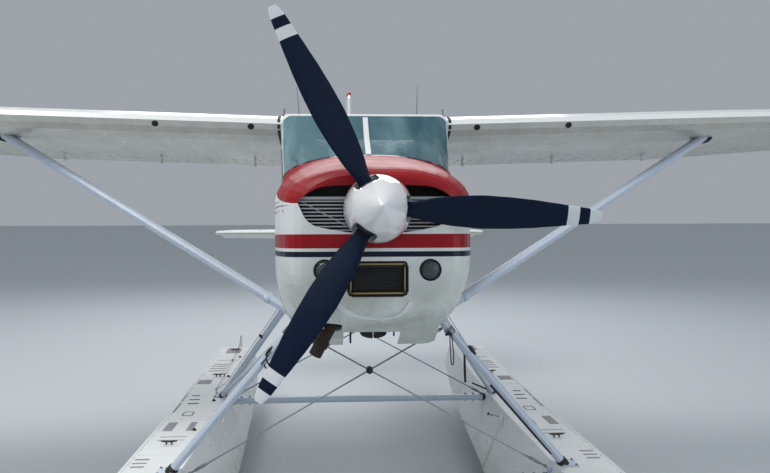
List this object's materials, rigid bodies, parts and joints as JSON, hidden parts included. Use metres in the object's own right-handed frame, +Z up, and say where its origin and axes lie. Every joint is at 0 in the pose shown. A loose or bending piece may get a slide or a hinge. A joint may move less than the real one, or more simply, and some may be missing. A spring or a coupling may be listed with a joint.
{
  "type": "floatplane",
  "caption": "High-wing strut-braced light aircraft on floats, with a turning propeller, opening doors, and working flaps, ailerons, elevator, rudder, cowl flaps and water rudders.",
  "frame": {"origin": "Centre of the bounding box in plan, on the surface that the keels of the floats stand on.", "axes": "+X is the aeroplane's left, +Y is aft and +Z is up, with the machine resting on its keels and its nose slightly raised."},
  "size_m": [10.92, 8.2546, 3.756],
  "materials": {
    "white_paint": "gloss white paint",
    "white_alloy": "sheet alloy in gloss white paint, grimy below",
    "red_paint": "gloss deep red paint",
    "blade_paint": "satin dark navy paint with banded tips",
    "bare_alloy": "bare satin alloy",
    "bare_steel": "plain steel",
    "engine_iron": "dull grey, oily",
    "rusty_steel": "brown heat-stained and rusty",
    "filter_frame": "tan frame round a dark ribbed filter",
    "tinted_glass": "clear with a green-blue tint",
    "lamp_glass": "clear lens over a bright reflector",
    "beacon_red": "deep red lens",
    "panel_plastic": "matt black",
    "seat_fabric": "dark woven cloth",
    "black_rubber": "matt black"
  },
  "bodies": {
    "airframe": {"cowl_top": "red_paint", "cowl_bottom": "white_paint", "nose_grille": "bare_alloy", "air_filter": "filter_frame", "landing_light_left": "lamp_glass", "landing_light_right": "lamp_glass", "engine_block": "engine_iron", "exhaust_pipe": "rusty_steel", "boot_cowl": "red_paint", "windshield": "tinted_glass", "cabin_roof": "white_paint", "cabin_belly": "white_paint", "cabin_side_left": "white_paint", "cabin_side_right": "white_paint", "side_window_left": "tinted_glass", "side_window_right": "tinted_glass", "firewall": "bare_steel", "instrument_panel": "panel_plastic", "front_seat_left": "seat_fabric", "front_seat_right": "seat_fabric", "rear_seat": "seat_fabric", "wing_left": "white_alloy", "wing_right": "white_alloy", "wing_strut_left": "white_paint", "wing_strut_right": "white_paint", "tail_cone": "white_alloy", "tailplane": "white_alloy", "fin": "white_alloy", "beacon": "beacon_red", "float_left": "white_alloy", "float_right": "white_alloy", "bow_bumper_left": "black_rubber", "bow_bumper_right": "black_rubber", "float_struts_left": "white_paint", "float_struts_right": "white_paint", "spreader_bar_front": "white_paint", "spreader_bar_rear": "white_paint", "brace_wires_front": "bare_steel", "brace_wires_rear": "bare_steel"},
    "propeller": {"spinner": "white_alloy", "propeller_blades": "blade_paint"},
    "door_left": {"cabin_door_left": "white_paint", "door_window_left": "tinted_glass"},
    "door_right": {"cabin_door_right": "white_paint", "door_window_right": "tinted_glass"},
    "flap_left": {"flap_left": "white_alloy"},
    "flap_right": {"flap_right": "white_alloy"},
    "aileron_left": {"aileron_left": "white_alloy"},
    "aileron_right": {"aileron_right": "white_alloy"},
    "elevator": {"elevator": "white_alloy"},
    "rudder": {"rudder": "white_alloy"},
    "water_rudder_left": {"water_rudder_left": "bare_alloy"},
    "water_rudder_right": {"water_rudder_right": "bare_alloy"},
    "cowl_flap_left": {"cowl_flap_left": "white_paint"},
    "cowl_flap_right": {"cowl_flap_right": "white_paint"}
  },
  "joints": [
    {"name": "propeller_shaft", "type": "hinge", "parent": "airframe", "child": "propeller", "pos_m": [0, -3.38933, 2.32], "axis": [0, -0.999, 0.0436], "continuous": true},
    {"name": "door_hinge_left", "type": "hinge", "parent": "airframe", "child": "door_left", "pos_m": [0.54, -1.91674, 2.25571], "axis": [0, -0.0436, -0.999], "range_deg": [0, 60]},
    {"name": "door_hinge_right", "type": "hinge", "parent": "airframe", "child": "door_right", "pos_m": [-0.54, -1.91674, 2.25571], "axis": [0, 0.0436, 0.999], "range_deg": [0, 60]},
    {"name": "flap_pivot_left", "type": "hinge", "parent": "airframe", "child": "flap_left", "pos_m": [2.578, -0.54303, 2.70555], "axis": [-0.9995, 0.0002, -0.0308], "range_deg": [0, 40]},
    {"name": "flap_pivot_right", "type": "hinge", "parent": "airframe", "child": "flap_right", "pos_m": [-0.567, -0.54265, 2.64359], "axis": [-0.9995, -0.0002, 0.0308], "range_deg": [0, 40]},
    {"name": "aileron_hinge_left", "type": "hinge", "parent": "airframe", "child": "aileron_left", "pos_m": [5.19, -0.68953, 2.93895], "axis": [-0.9943, 0.0877, -0.0599], "range_deg": [-20, 15]},
    {"name": "aileron_hinge_right", "type": "hinge", "parent": "airframe", "child": "aileron_right", "pos_m": [-2.6, -0.46122, 2.78292], "axis": [-0.9943, -0.0877, 0.0599], "range_deg": [-15, 20]},
    {"name": "elevator_hinge", "type": "hinge", "parent": "airframe", "child": "elevator", "pos_m": [0, 3.36739, 1.93691], "axis": [-1, 0, 0], "range_deg": [-33, 15]},
    {"name": "rudder_hinge", "type": "hinge", "parent": "airframe", "child": "rudder", "pos_m": [0, 3.60101, 2.0148], "axis": [0, 0.0436, 0.999], "range_deg": [-24, 24]},
    {"name": "water_rudder_pin_left", "type": "hinge", "parent": "airframe", "child": "water_rudder_left", "pos_m": [1.335, 2.49767, 0], "axis": [0, 0, 1], "range_deg": [-30, 30]},
    {"name": "water_rudder_pin_right", "type": "hinge", "parent": "airframe", "child": "water_rudder_right", "pos_m": [-1.335, 2.49767, 0], "axis": [0, 0, 1], "range_deg": [-30, 30]},
    {"name": "cowl_flap_hinge_left", "type": "hinge", "parent": "airframe", "child": "cowl_flap_left", "pos_m": [0, -2.7022, 1.62036], "axis": [-1, 0, 0], "range_deg": [-13, 8]},
    {"name": "cowl_flap_hinge_right", "type": "hinge", "parent": "airframe", "child": "cowl_flap_right", "pos_m": [0, -2.7022, 1.62036], "axis": [-1, 0, 0], "range_deg": [-13, 8]}
  ],
  "couplings": [
    {"joint": "flap_pivot_right", "follows": "flap_pivot_left", "ratio": 1},
    {"joint": "aileron_hinge_right", "follows": "aileron_hinge_left", "ratio": -1},
    {"joint": "water_rudder_pin_right", "follows": "water_rudder_pin_left", "ratio": 1},
    {"joint": "cowl_flap_hinge_right", "follows": "cowl_flap_hinge_left", "ratio": 1}
  ]
}
